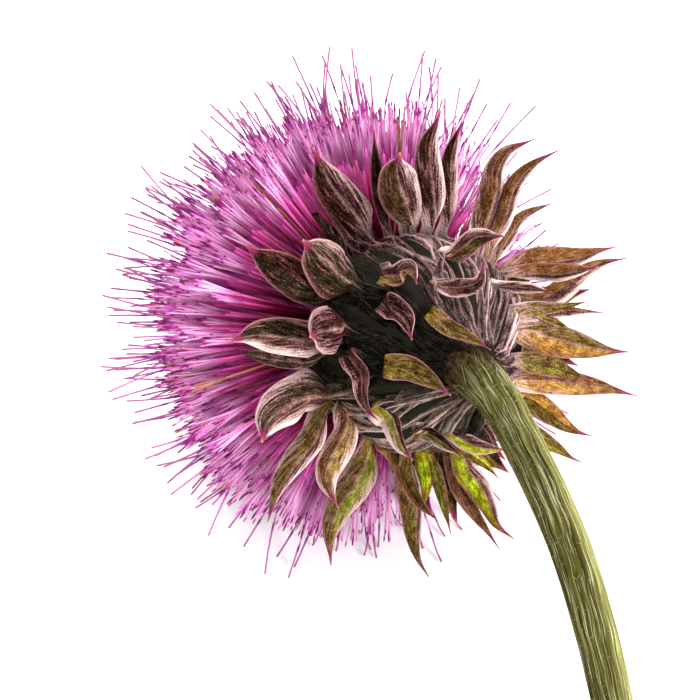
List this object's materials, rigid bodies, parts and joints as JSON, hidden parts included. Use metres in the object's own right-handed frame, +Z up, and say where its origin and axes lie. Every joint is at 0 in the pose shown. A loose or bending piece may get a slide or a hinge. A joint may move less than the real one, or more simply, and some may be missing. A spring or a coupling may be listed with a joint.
{
  "type": "thistle flower head",
  "caption": "Cut thistle head lying on its florets: a ball of narrow tubular florets with long styles in a bowl of keeled, spine-tipped bracts, on a short arched stem.",
  "frame": {"origin": "on the surface that the head lies on, in the middle of the florets pressed under it", "axes": "+Z up from the surface; -Y towards the cut end of the stem; the head faces down to -X, +Y"},
  "size_m": [0.069, 0.0933, 0.0542],
  "materials": {
    "peduncle": "dull olive green with pale ribs",
    "involucre": "dark olive and purple-brown, with pink margins and spines",
    "florets": "matt magenta to lilac, translucent"
  },
  "bodies": {
    "root": {"peduncle": "peduncle", "involucre": "involucre", "florets": "florets"}
  },
  "joints": []
}
